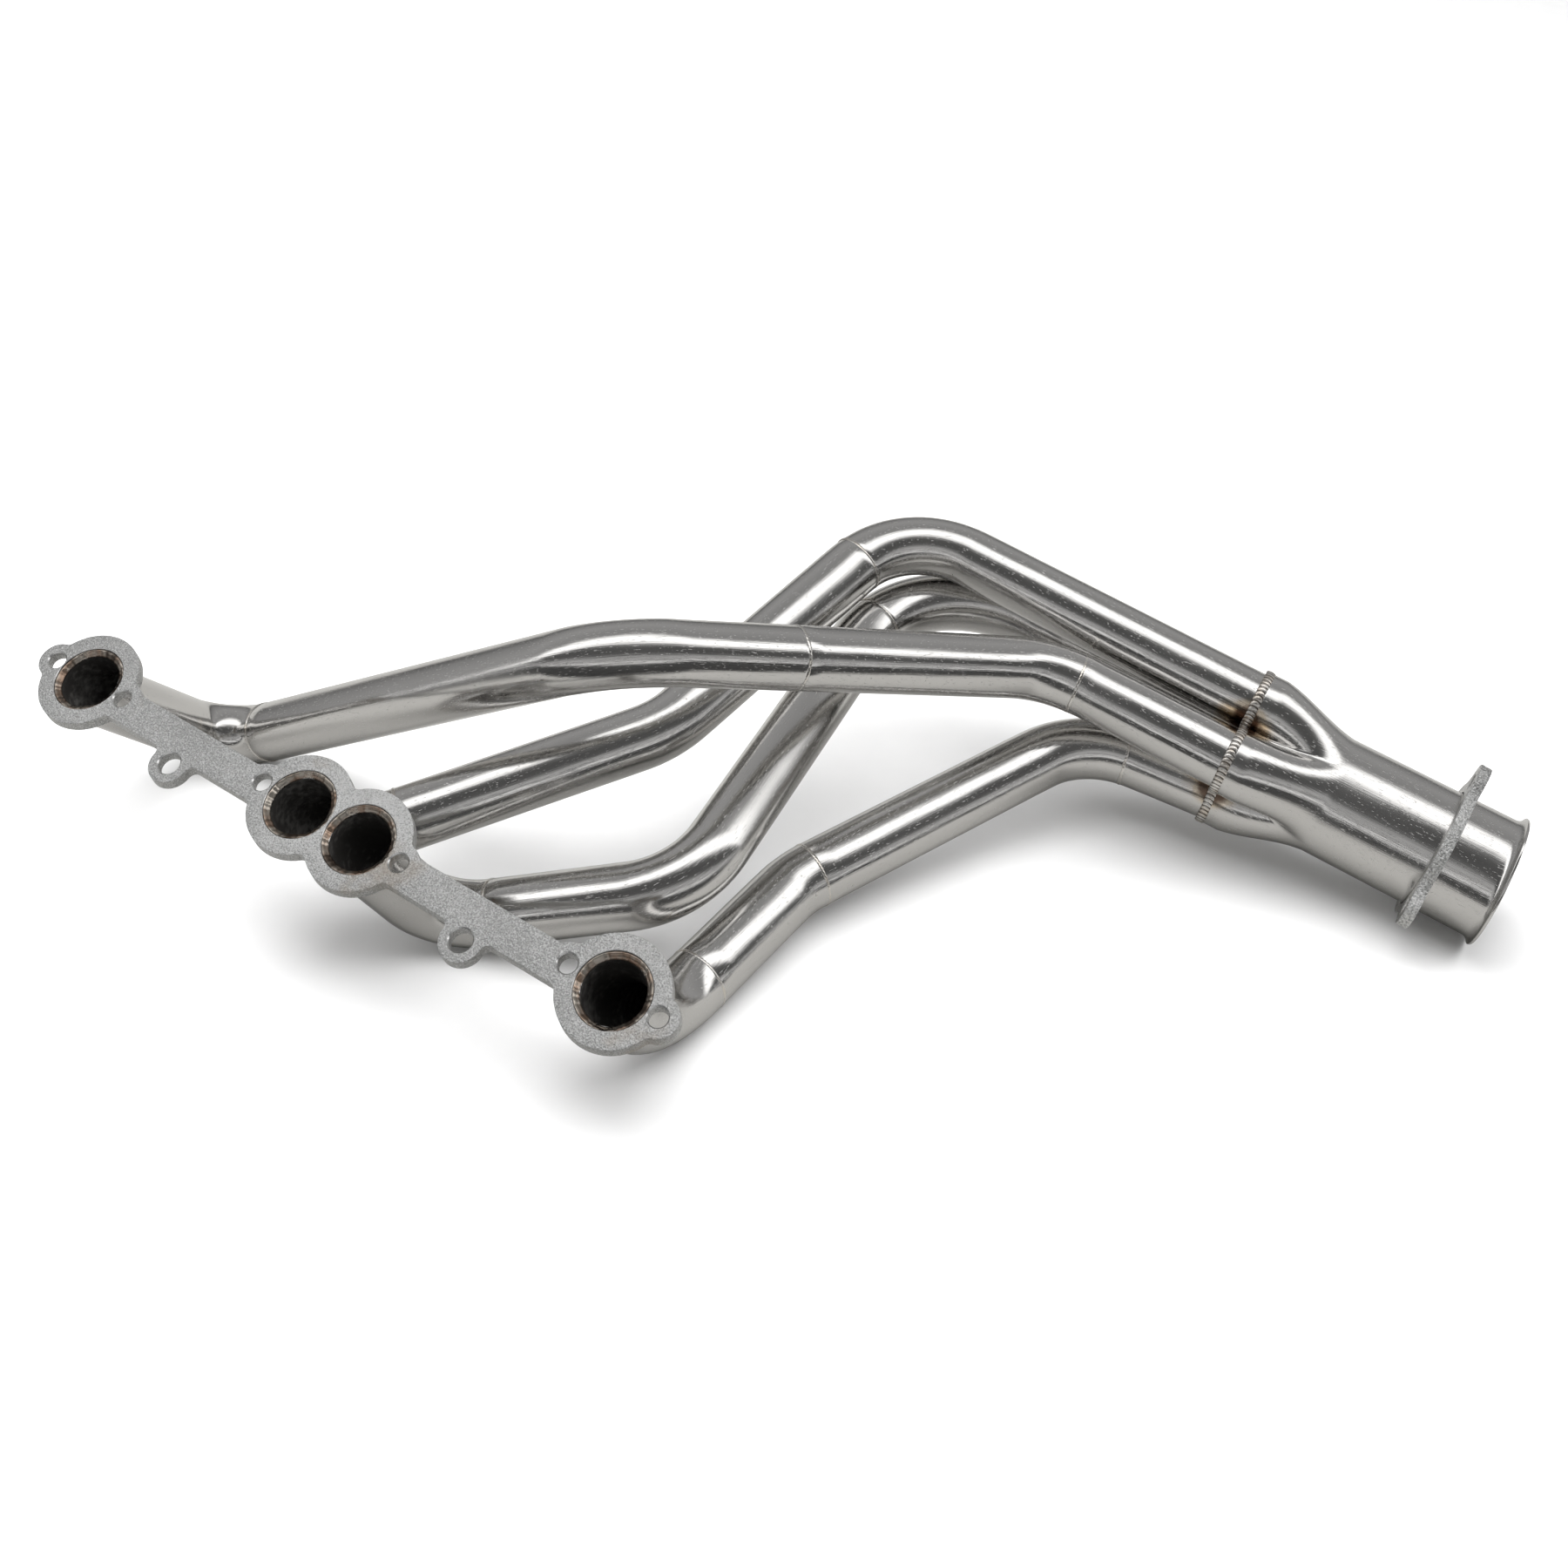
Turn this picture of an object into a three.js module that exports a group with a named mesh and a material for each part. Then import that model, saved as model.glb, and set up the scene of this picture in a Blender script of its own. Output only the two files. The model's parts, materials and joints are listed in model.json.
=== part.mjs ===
// Long-tube exhaust header for one bank of a small V8: a head flange, four bent primary tubes made of
// butt-welded pieces, a four-into-one collector and a loose three-bolt flange on the collector's outlet.
// Millimetres. The header is drawn in its own frame (+X along the port line, +Y away from the flange's
// ears, +Z out of the mating face) and then laid down in the pose it rests in on a bench.
import * as THREE from "three";

// ---- head flange ----
const FLANGE_THICKNESS = 8;
const PORT_PAIR = 43.8; // centre distance of the two middle ports
const PORT_PITCH = 170.8; // from a middle port to the end port beside it
const PORT_HOLE_R = 21.1;
const BOSS_R = 30.8;
const BOLT_HOLE_R = 5.4;
const BOLT_LUG_R = 11.5;
const BOLT_U = [50.5, 164, 220.3]; // bolt holes sit on the port line, mirrored about the middle
const EAR_U = 107.4;
const EAR_V = -18;
const EAR_R = 12.3;
const EAR_HOLE_R = 6.6;
const RAIL_TOP = 7.5;
const RAIL_BOTTOM = -13;
const CORNER_R = 4.5; // fillets in the outline's concave corners

// ---- primary tubes: 1 1/2 in outside diameter ----
const TUBE_R = 19.05;
const TUBE_WALL = 1.5;
const TUBE_SIDES = 16;
const BEND_STEP = 15; // degrees of bend between two sections
const TUBE_START = 3.2; // the tube's end sits this far behind the mating face
const TUBE_END_IN_COLLECTOR = 9;
const BEAD_R = 20.1;
const BEAD_BORE_R = 17.2;
const BEAD_WIDTH = 2.2;
const SEAM_GAP = 3; // space between two tube pieces, filled by the bead
// Corners of each tube's centreline with the bend radius at each, and the run length at each seam.
const PRIMARIES = {
  a: {
    corners: [[-192.7, 0, 0], [-192.7, 0, -17], [-179.8, 47.2, -136.1], [100.6, 147.5, 45.1], [279.7, 334.4, -99.4]],
    radii: [42, 33, 62.7, 63.2],
    seams: [163, 572, 768],
  },
  b: {
    corners: [[-21.9, 0, 0], [-21.9, 0, -51.7], [106.6, 165, -62.1], [152.8, 380.3, -82.4]],
    radii: [38, 64.4, 63.3],
    seams: [84, 421],
  },
  c: {
    corners: [[21.9, 0, 0], [21.9, 0, -29.1], [46.3, 9.1, -91.7], [175.4, 84.3, -57.7], [158, 385, -124.5]],
    radii: [57, 37.6, 51.3, 86],
    seams: [121, 470],
  },
  d: {
    corners: [[192.7, 0, 0], [192.7, 0, -72], [210.5, 136.1, -108.6], [306.2, 328.1, -150.1]],
    radii: [70.1, 64.2, 64.7],
    seams: [111, 210, 439],
  },
};

// ---- collector ----
const COLLECTOR_AT = [394.9, 356, -133.5]; // centre of its inlet plane
const COLLECTOR_AXIS = [0.9937, -0.0044, -0.1117];
const COLLECTOR_TURN = -43.1; // degrees from its own cross axis to the first lobe
const LOBE_AT = 30.6; // lobe centres from the axis
const LOBE_R = 21.1;
const LOBE_VALLEY_R = 25; // from the axis to the outside of a valley
const COLLECTOR_WALL = 1.6;
const OUTLET_R = 36.9;
const LOBE_STRAIGHT = 10; // length of the inlet before the taper starts
const TAPER_END = 58;
const LIP_AT = 155; // where the lip starts to flare
const LIP_R = 40.9;
const LOBE_SIDES = 56;
const LOBE_SWEEP = 125; // each lobe's round part reaches this far either side of its outermost line, in degrees
const LOBE_ORDER = ["b", "a", "d", "c"]; // round the axis

// ---- loose collector flange ----
const LOOSE_AT = 121; // its inlet side, from the inlet plane
const LOOSE_THICKNESS = 6.4;
const LOOSE_BORE_R = 37.9;
const LOOSE_RIM_R = 44;
const LOOSE_BOLT_AT = 47.6; // three bolts 82.5 mm apart
const LOOSE_LUG_R = 11.8;
const LOOSE_FILLET = 22; // between a lug and the rim
const LOOSE_BOLT_R = 5.2;
const LOOSE_TILT = -3.2; // degrees it hangs off square, within the play in its bore
const LOOSE_TILT_ABOUT = -30; // direction of the tilt's axis, in degrees from the collector's cross axis
const LOOSE_TURN = 20; // turn of its bolt holes about the outlet

// ---- how it rests on a bench ----
const REST_TIP = 21.27; // degrees about the port line
const REST_ROLL = 4.6; // degrees about the bench's Y
const REST_SHIFT = [-164.04, -200.68, 97.02];

const DEG = Math.PI / 180;

const STEEL = { color: 0xb9bcc0, roughness: 0.16, metalness: 1 };
const PLATE = { color: 0x8b8a88, roughness: 0.55, metalness: 0.9 };
const WELD = { color: 0xa89c8c, roughness: 0.32, metalness: 1 };
const PORT_WELD = { color: 0x9a8a76, roughness: 0.28, metalness: 1 };
const LOOSE = { color: 0xa3a19d, roughness: 0.42, metalness: 1 };

function named(name, geometry, look) {
  const mesh = new THREE.Mesh(geometry, new THREE.MeshStandardMaterial(look));
  mesh.name = name;
  return mesh;
}

function circle(x, y, r, sides) {
  const path = new THREE.Path();
  for (let i = 0; i <= sides; i++) {
    const a = (i / sides) * 2 * Math.PI;
    const px = x + r * Math.cos(a);
    const py = y + r * Math.sin(a);
    if (i === 0) path.moveTo(px, py);
    else if (i < sides) path.lineTo(px, py);
  }
  path.closePath();
  return path;
}

// ---------------------------------------------------------------- head flange
// The outline is a ring of round lobes and straight rails. Between each two neighbours lies a fillet
// that touches both, on the outer side.
function outline(ring, fillet) {
  const bridges = ring.map((a, i) => {
    const b = ring[(i + 1) % ring.length];
    if (a.r && b.r) {
      const d = Math.hypot(b.u - a.u, b.v - a.v);
      const ra = a.r + fillet;
      const rb = b.r + fillet;
      const along = (d * d + ra * ra - rb * rb) / (2 * d);
      const aside = Math.sqrt(ra * ra - along * along);
      const eu = (b.u - a.u) / d;
      const ev = (b.v - a.v) / d;
      return new THREE.Vector2(a.u + eu * along - ev * aside, a.v + ev * along + eu * aside);
    }
    const lobe = a.r ? a : b;
    const rail = a.r ? b : a;
    const v = rail.rail + rail.out * fillet;
    const reach = Math.sqrt((lobe.r + fillet) ** 2 - (v - lobe.v) ** 2);
    return new THREE.Vector2(lobe.u + rail.out * (a.r ? 1 : -1) * reach, v);
  });
  const touch = (e, c) => {
    if (!e.r) return new THREE.Vector2(c.x, e.rail);
    return new THREE.Vector2(e.u, e.v).lerp(c, e.r / (e.r + fillet));
  };
  const points = [];
  const sweep = (cu, cv, r, from, to, way) => {
    const a0 = Math.atan2(from.y - cv, from.x - cu);
    let turn = (Math.atan2(to.y - cv, to.x - cu) - a0) * way;
    while (turn < 0) turn += 2 * Math.PI;
    const n = Math.max(1, Math.ceil(turn / (14 * DEG)));
    for (let k = 0; k <= n; k++) {
      const a = a0 + (way * turn * k) / n;
      points.push(new THREE.Vector2(cu + r * Math.cos(a), cv + r * Math.sin(a)));
    }
  };
  ring.forEach((e, i) => {
    const before = bridges[(i + ring.length - 1) % ring.length];
    const after = bridges[i];
    if (e.r) sweep(e.u, e.v, e.r, touch(e, before), touch(e, after), -1);
    const next = ring[(i + 1) % ring.length];
    sweep(after.x, after.y, fillet, touch(e, after), touch(next, after), 1);
  });
  return points.filter((p, i) => p.distanceTo(points[(i + 1) % points.length]) > 0.01);
}

function headFlange() {
  const boss = (u) => ({ u, v: 0, r: BOSS_R });
  const lug = (u) => ({ u, v: 0, r: BOLT_LUG_R });
  const ear = (u) => ({ u, v: EAR_V, r: EAR_R });
  const top = { rail: RAIL_TOP, out: 1 };
  const bottom = { rail: RAIL_BOTTOM, out: -1 };
  const near = PORT_PAIR / 2;
  const far = near + PORT_PITCH;
  const [b1, b2, b3] = BOLT_U;
  const ring = [
    lug(-b3), boss(-far), lug(-b2), top, lug(-b1), boss(-near), boss(near), lug(b1), top, lug(b2), boss(far),
    lug(b3), boss(far), bottom, ear(EAR_U), bottom, boss(near), boss(-near), bottom, ear(-EAR_U), bottom, boss(-far),
  ];
  const shape = new THREE.Shape(outline(ring, CORNER_R));
  for (const u of [-far, -near, near, far]) shape.holes.push(circle(u, 0, PORT_HOLE_R, 32));
  for (const u of BOLT_U) shape.holes.push(circle(u, 0, BOLT_HOLE_R, 14), circle(-u, 0, BOLT_HOLE_R, 14));
  for (const u of [-EAR_U, EAR_U]) shape.holes.push(circle(u, EAR_V, EAR_HOLE_R, 16));
  const plate = new THREE.ExtrudeGeometry(shape, { depth: FLANGE_THICKNESS, bevelEnabled: false });
  plate.translate(0, 0, -FLANGE_THICKNESS);
  return named("head_flange", plate, PLATE);
}

// ---------------------------------------------------------------- tubes
// Points and directions along a run of straights and round bends, with their distance from its start.
function runOf(corners, radii) {
  const run = [];
  let at = 0;
  const add = (point, tangent) => {
    if (run.length) at += run[run.length - 1].point.distanceTo(point);
    run.push({ at, point, tangent });
  };
  corners.forEach((corner, i) => {
    if (i === 0 || i === corners.length - 1) {
      const other = corners[i === 0 ? 1 : i - 1];
      const way = other.clone().sub(corner).normalize();
      add(corner.clone(), i === 0 ? way : way.negate());
      return;
    }
    const before = corner.clone().sub(corners[i - 1]).normalize();
    const after = corners[i + 1].clone().sub(corner).normalize();
    const angle = before.angleTo(after);
    const radius = radii[i - 1];
    const setback = radius * Math.tan(angle / 2);
    const start = corner.clone().addScaledVector(before, -setback);
    const inward = after.clone().addScaledVector(before, -after.dot(before)).normalize();
    const centre = start.clone().addScaledVector(inward, radius);
    const steps = Math.max(1, Math.ceil(angle / (BEND_STEP * DEG)));
    for (let k = 0; k <= steps; k++) {
      const a = (angle * k) / steps;
      const point = centre.clone().addScaledVector(inward, -radius * Math.cos(a));
      point.addScaledVector(before, radius * Math.sin(a));
      const tangent = before.clone().multiplyScalar(Math.cos(a)).addScaledVector(inward, Math.sin(a));
      add(point, tangent);
    }
  });
  return run;
}

function stationAt(run, at) {
  const i = run.findIndex((s) => s.at >= at);
  const b = run[i];
  const a = run[Math.max(0, i - 1)];
  const t = b.at === a.at ? 0 : (at - a.at) / (b.at - a.at);
  return { at, point: a.point.clone().lerp(b.point, t), tangent: a.tangent.clone().lerp(b.tangent, t).normalize() };
}

// A curve that visits its stations at even steps, so an extrusion puts one section on each.
class StationCurve extends THREE.Curve {
  constructor(stations) {
    super();
    this.stations = stations;
  }
  stationOf(u) {
    return this.stations[Math.round(u * (this.stations.length - 1))];
  }
  getPointAt(u) {
    return this.stationOf(u).point.clone();
  }
  getTangentAt(u) {
    return this.stationOf(u).tangent.clone();
  }
}

function pipe(run, from, to, outer, inner) {
  const inside = run.filter((s) => s.at > from + 0.6 && s.at < to - 0.6);
  const stations = [stationAt(run, from), ...inside, stationAt(run, to)];
  const ring = new THREE.Shape(circle(0, 0, outer, TUBE_SIDES).getPoints());
  ring.holes.push(circle(0, 0, inner, TUBE_SIDES));
  return new THREE.ExtrudeGeometry(ring, {
    steps: stations.length - 1,
    bevelEnabled: false,
    extrudePath: new StationCurve(stations),
  });
}

function collectorFrame() {
  const axis = new THREE.Vector3(...COLLECTOR_AXIS).normalize();
  const across = new THREE.Vector3(-axis.z, 0, axis.x).normalize();
  const down = axis.clone().cross(across).normalize();
  return { axis, across, down, centre: new THREE.Vector3(...COLLECTOR_AT) };
}

function lobeCentre(index) {
  const f = collectorFrame();
  const a = (COLLECTOR_TURN + index * 90) * DEG;
  const point = f.centre.clone().addScaledVector(f.across, LOBE_AT * Math.cos(a));
  return point.addScaledVector(f.down, LOBE_AT * Math.sin(a));
}

function primary(name) {
  const { corners, radii, seams } = PRIMARIES[name];
  const mouth = lobeCentre(LOBE_ORDER.indexOf(name));
  const inside = mouth.clone().addScaledVector(collectorFrame().axis, TUBE_END_IN_COLLECTOR);
  const path = corners.map((c) => new THREE.Vector3(...c));
  const run = runOf([...path, mouth, inside], [...radii, 20]);
  const end = run[run.length - 1].at;
  const parts = [];
  const cuts = [TUBE_START, ...seams, end];
  for (let i = 0; i + 1 < cuts.length; i++) {
    const from = i === 0 ? cuts[0] : cuts[i] + SEAM_GAP / 2;
    const to = i + 2 === cuts.length ? end : cuts[i + 1] - SEAM_GAP / 2;
    const tube = pipe(run, from, to, TUBE_R, TUBE_R - TUBE_WALL);
    parts.push(named("tube_" + name + (i + 1), tube, STEEL));
  }
  seams.forEach((s, i) => {
    const bead = pipe(run, s - BEAD_WIDTH / 2, s + BEAD_WIDTH / 2, BEAD_R, BEAD_BORE_R);
    parts.push(named("seam_weld_" + name + (i + 1), bead, WELD));
  });
  return parts;
}

// The bead that ties a primary into its port: a fillet inside the port mouth, a leg through the plate
// round the tube, and a fillet against the plate's back.
function portWeld(name, u) {
  const back = -FLANGE_THICKNESS - 0.3;
  const profile = [
    [19.7, -11.4], [21.6, back], [20.8, back], [20.8, -0.9], [18.9, -1.5], [17.7, -2.8], [19.7, -2.8], [19.7, -11.4],
  ];
  const points = profile.map(([r, w]) => new THREE.Vector2(r, w));
  const ring = new THREE.LatheGeometry(points, 28);
  ring.rotateX(Math.PI / 2);
  ring.translate(u, 0, 0);
  return named(name, ring, PORT_WELD);
}

// ---------------------------------------------------------------- collector
// Outline of four round lobes joined by rounded valleys. The first point is a valley; every lobe's
// points are evenly spaced about its own centre.
function lobedOutline(lobeR, valleyR, sides) {
  const points = [];
  const perLobe = sides / 4;
  for (let i = 0; i < sides; i++) {
    const lobe = Math.floor(i / perLobe) * 90 * DEG;
    const k = i % perLobe;
    const point = new THREE.Vector2(LOBE_AT, 0);
    const b = (-LOBE_SWEEP + (2 * LOBE_SWEEP * (k - 1)) / (perLobe - 2)) * DEG;
    if (k === 0) point.set(valleyR * Math.SQRT1_2, -valleyR * Math.SQRT1_2);
    else point.add(new THREE.Vector2(lobeR * Math.cos(b), lobeR * Math.sin(b)));
    points.push(point.rotateAround(new THREE.Vector2(0, 0), lobe));
  }
  return points;
}

function taperShare(s) {
  const t = Math.min(1, Math.max(0, (s - LOBE_STRAIGHT) / (TAPER_END - LOBE_STRAIGHT)));
  return 1 - t * t * (3 - 2 * t) * 0.45 - t * 0.55;
}

function collector() {
  const stations = [0, LOBE_STRAIGHT, 16, 23, 30, 37, 44, 51, TAPER_END, 105, LIP_AT];
  const outer = stations.map((s) => [OUTLET_R, s]);
  const lip = [
    [OUTLET_R + 1.2, LIP_AT + 2.6], [LIP_R, LIP_AT + 4.6], [LIP_R, LIP_AT + 5.8], [LIP_R - 0.8, LIP_AT + 6],
    [OUTLET_R - COLLECTOR_WALL + 1, LIP_AT + 3.5],
  ];
  const inner = stations.map((s) => [OUTLET_R - COLLECTOR_WALL, s]).reverse();
  const profile = [...outer, ...lip, ...inner, outer[0]];
  const shell = new THREE.LatheGeometry(profile.map(([r, s]) => new THREE.Vector2(r, s)), LOBE_SIDES);
  const outside = lobedOutline(LOBE_R, LOBE_VALLEY_R, LOBE_SIDES);
  const inside = lobedOutline(LOBE_R - COLLECTOR_WALL, LOBE_VALLEY_R - COLLECTOR_WALL, LOBE_SIDES);
  const p = shell.attributes.position;
  for (let i = 0; i < p.count; i++) {
    const side = Math.floor(i / profile.length) % LOBE_SIDES;
    const s = p.getY(i);
    const r = Math.hypot(p.getX(i), p.getZ(i));
    const share = s > TAPER_END ? 0 : taperShare(s);
    const to = (r > OUTLET_R - COLLECTOR_WALL / 2 ? outside : inside)[side];
    const a = (side / LOBE_SIDES) * 2 * Math.PI - Math.PI / 4;
    const x = r * Math.cos(a) * (1 - share) + to.x * share;
    const z = r * Math.sin(a) * (1 - share) + to.y * share;
    p.setXYZ(i, x, s, -z);
  }
  return named("collector", shell, STEEL);
}

// The bead that closes the collector's inlet edge onto the four tubes.
function collectorWeld() {
  const bead = new THREE.Shape(lobedOutline(LOBE_R + 0.5, LOBE_VALLEY_R + 0.7, 64));
  bead.holes.push(new THREE.Path(lobedOutline(TUBE_R + 0.9, LOBE_VALLEY_R - 2.4, 64)));
  const ring = new THREE.ExtrudeGeometry(bead, { depth: 2.6, bevelEnabled: false });
  ring.rotateX(-Math.PI / 2);
  ring.translate(0, -2.9, 0);
  return named("collector_weld", ring, WELD);
}

// The four-pointed plate that closes the gap between the tubes inside the collector.
function mergePlug() {
  const points = [];
  const clear = TUBE_R + 0.55;
  for (let i = 0; i < 24; i++) {
    const b = (225 - (i % 6) * 18) * DEG;
    const point = new THREE.Vector2(LOBE_AT + clear * Math.cos(b), clear * Math.sin(b));
    points.push(point.rotateAround(new THREE.Vector2(0, 0), Math.floor(i / 6) * 90 * DEG));
  }
  const plate = new THREE.ExtrudeGeometry(new THREE.Shape(points), { depth: 4, bevelEnabled: false });
  plate.rotateX(-Math.PI / 2);
  plate.translate(0, 0.6, 0);
  return named("merge_plug", plate, WELD);
}

// Three bolt lugs blended into a round rim, cut from one plate.
function looseFlange() {
  const lugs = [60, 180, 300].map((a) => {
    return { u: LOOSE_BOLT_AT * Math.cos(a * DEG), v: -LOOSE_BOLT_AT * Math.sin(a * DEG), r: LOOSE_LUG_R };
  });
  const rim = { u: 0, v: 0, r: LOOSE_RIM_R };
  const shape = new THREE.Shape(outline(lugs.flatMap((lug) => [lug, rim]), LOOSE_FILLET));
  shape.holes.push(circle(0, 0, LOOSE_BORE_R, 48));
  for (const { u, v } of lugs) shape.holes.push(circle(u, v, LOOSE_BOLT_R, 16));
  const plate = new THREE.ExtrudeGeometry(shape, { depth: LOOSE_THICKNESS, bevelEnabled: false });
  plate.rotateX(-Math.PI / 2);
  plate.translate(0, -LOOSE_THICKNESS / 2, 0);
  return named("collector_flange", plate, LOOSE);
}

// ---------------------------------------------------------------- assembly
const header = new THREE.Group();
header.add(headFlange());
const portU = [-PORT_PAIR / 2 - PORT_PITCH, -PORT_PAIR / 2, PORT_PAIR / 2, PORT_PAIR / 2 + PORT_PITCH];
Object.keys(PRIMARIES).forEach((name, i) => {
  header.add(portWeld("port_weld_" + name, portU[i]));
  header.add(...primary(name));
});

const f = collectorFrame();
const outlet = new THREE.Group();
outlet.position.copy(f.centre);
outlet.quaternion.setFromRotationMatrix(new THREE.Matrix4().makeBasis(f.across, f.axis, f.down.clone().negate()));
header.add(outlet);
const lobed = new THREE.Group();
lobed.rotation.y = COLLECTOR_TURN * DEG;
lobed.add(collector(), collectorWeld(), mergePlug());
outlet.add(lobed);
const loose = looseFlange();
loose.position.y = LOOSE_AT + LOOSE_THICKNESS / 2;
const tiltAxis = new THREE.Vector3(Math.cos(LOOSE_TILT_ABOUT * DEG), 0, Math.sin(LOOSE_TILT_ABOUT * DEG));
loose.rotateOnAxis(tiltAxis, LOOSE_TILT * DEG);
loose.rotateY(LOOSE_TURN * DEG);
outlet.add(loose);

header.rotation.set(REST_TIP * DEG, REST_ROLL * DEG, 0, "YXZ");
header.position.set(...REST_SHIFT);

const root = new THREE.Group();
root.add(header);
export default root;
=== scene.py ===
import json
import math

import bmesh
import bpy
from mathutils import Matrix, Vector, noise

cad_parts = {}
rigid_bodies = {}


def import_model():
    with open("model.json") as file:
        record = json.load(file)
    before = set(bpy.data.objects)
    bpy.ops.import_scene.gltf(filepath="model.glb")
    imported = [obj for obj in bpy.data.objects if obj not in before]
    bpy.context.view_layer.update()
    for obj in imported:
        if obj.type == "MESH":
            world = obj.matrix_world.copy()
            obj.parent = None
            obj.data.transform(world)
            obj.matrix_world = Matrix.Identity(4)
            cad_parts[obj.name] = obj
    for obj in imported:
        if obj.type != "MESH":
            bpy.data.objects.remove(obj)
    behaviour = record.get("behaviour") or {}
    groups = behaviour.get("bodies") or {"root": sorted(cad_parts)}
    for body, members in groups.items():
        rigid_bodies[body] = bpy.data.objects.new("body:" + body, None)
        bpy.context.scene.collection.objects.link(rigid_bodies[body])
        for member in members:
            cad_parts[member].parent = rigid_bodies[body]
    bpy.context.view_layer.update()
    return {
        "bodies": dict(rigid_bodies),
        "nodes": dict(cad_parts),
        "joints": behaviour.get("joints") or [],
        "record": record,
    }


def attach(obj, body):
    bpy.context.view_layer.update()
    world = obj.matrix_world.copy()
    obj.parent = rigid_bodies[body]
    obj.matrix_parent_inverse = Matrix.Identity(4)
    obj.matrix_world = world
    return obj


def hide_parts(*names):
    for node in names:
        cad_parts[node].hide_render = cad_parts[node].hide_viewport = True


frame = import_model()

scene = bpy.context.scene

# ---------------------------------------------------------------- bench, lights and camera
# A white table top in a white room, lit by a big soft box overhead and a tall strip at the left.
# Polished tube mirrors neither lamp: it mirrors bands of light and dark round the room, and a
# table whose colour in reflections is painted: greyer than the lens sees it, and dark in front.
CAMERA_AT = (0.40827, -0.73993, 0.78604)
CAMERA_RIGHT = Vector((0.83914, 0.54367, 0.01625)).normalized()
CAMERA_UP = Vector((-0.26803, 0.38734, 0.88212)).normalized()
CAMERA_LENS = 41.3
CAMERA_SHIFT = (0.0622, -0.2589)

camera = bpy.data.objects.new("camera", bpy.data.cameras.new("camera"))
camera.data.sensor_width = 36
camera.data.lens = CAMERA_LENS
camera.data.shift_x, camera.data.shift_y = CAMERA_SHIFT
camera.data.clip_start, camera.data.clip_end = 0.01, 100
camera_back = CAMERA_RIGHT.cross(CAMERA_UP)
camera_turn = Matrix((CAMERA_RIGHT, CAMERA_UP, camera_back)).transposed().to_4x4()
camera.matrix_world = Matrix.Translation(CAMERA_AT) @ camera_turn
scene.collection.objects.link(camera)
scene.camera = camera
scene.view_settings.view_transform = "Standard"


class Value:
    """A number that varies over a surface. Sums and products of it add Math nodes."""

    def __init__(self, finish, socket):
        self.finish = finish
        self.socket = socket

    def math(self, operation, a, b):
        return self.finish.node("ShaderNodeMath", {0: a, 1: b}, operation=operation)

    def __add__(self, other):
        return self.math("ADD", self, other)

    def __sub__(self, other):
        return self.math("SUBTRACT", self, other)

    def __rsub__(self, other):
        return self.math("SUBTRACT", other, self)

    def __mul__(self, other):
        return self.math("MULTIPLY", self, other)

    __radd__ = __add__
    __rmul__ = __mul__


class Finish:
    """The nodes of one material or of the room's light."""

    def __init__(self, name, owner=None):
        self.owner = owner or bpy.data.materials.new(name)
        self.owner.use_nodes = True
        self.tree = self.owner.node_tree
        self.tree.nodes.clear()

    def node(self, kind, inputs, output=0, stops=(), **settings):
        made = self.tree.nodes.new(kind)
        for key, value in settings.items():
            setattr(made, key, value)
        if stops:
            ramp = made.color_ramp.elements
            ramp[0].position, ramp[1].position = stops[0][0], stops[-1][0]
            ramp[0].color, ramp[1].color = (*stops[0][1], 1), (*stops[-1][1], 1)
            for at, colour in stops[1:-1]:
                ramp.new(at).color = (*colour, 1)
        for key, value in inputs.items():
            if isinstance(value, Value):
                self.tree.links.new(value.socket, made.inputs[key])
            else:
                made.inputs[key].default_value = value
        return Value(self, made.outputs[output])

    def place(self):
        return self.node("ShaderNodeTexCoord", {}, output="Object")

    def stretched(self, vector, scale):
        return self.node("ShaderNodeMapping", {"Vector": vector, "Scale": scale})

    def attribute(self, name, output):
        return self.node("ShaderNodeAttribute", {}, output=output, attribute_name=name)

    def noise(self, vector, scale, detail=2.0):
        sockets = {"Vector": vector, "Scale": scale, "Detail": detail}
        return self.node("ShaderNodeTexNoise", sockets)

    def cells(self, vector, scale):
        return self.node("ShaderNodeTexVoronoi", {"Vector": vector, "Scale": scale})

    def share(self, value, low, high):
        sockets = {"Value": value, "From Min": low, "From Max": high}
        return self.node("ShaderNodeMapRange", sockets, interpolation_type="SMOOTHSTEP")

    def mix(self, factor, a, b):
        full = [c if isinstance(c, Value) else (*c, 1) for c in (a, b)]
        sockets = {0: factor, 6: full[0], 7: full[1]}
        return self.node("ShaderNodeMix", sockets, output=2, data_type="RGBA")

    def bump(self, height, distance, strength=1.0):
        sockets = {"Height": height, "Distance": distance, "Strength": strength}
        return self.node("ShaderNodeBump", sockets)

    def surface(self, colour, roughness, normal, metallic=1.0):
        sockets = {"Base Color": colour, "Roughness": roughness, "Normal": normal, "Metallic": metallic}
        shader = self.node("ShaderNodeBsdfPrincipled", sockets)
        self.node_output("ShaderNodeOutputMaterial", shader)
        return self.owner

    def node_output(self, kind, shader):
        self.tree.links.new(shader.socket, self.tree.nodes.new(kind).inputs["Surface"])


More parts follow.
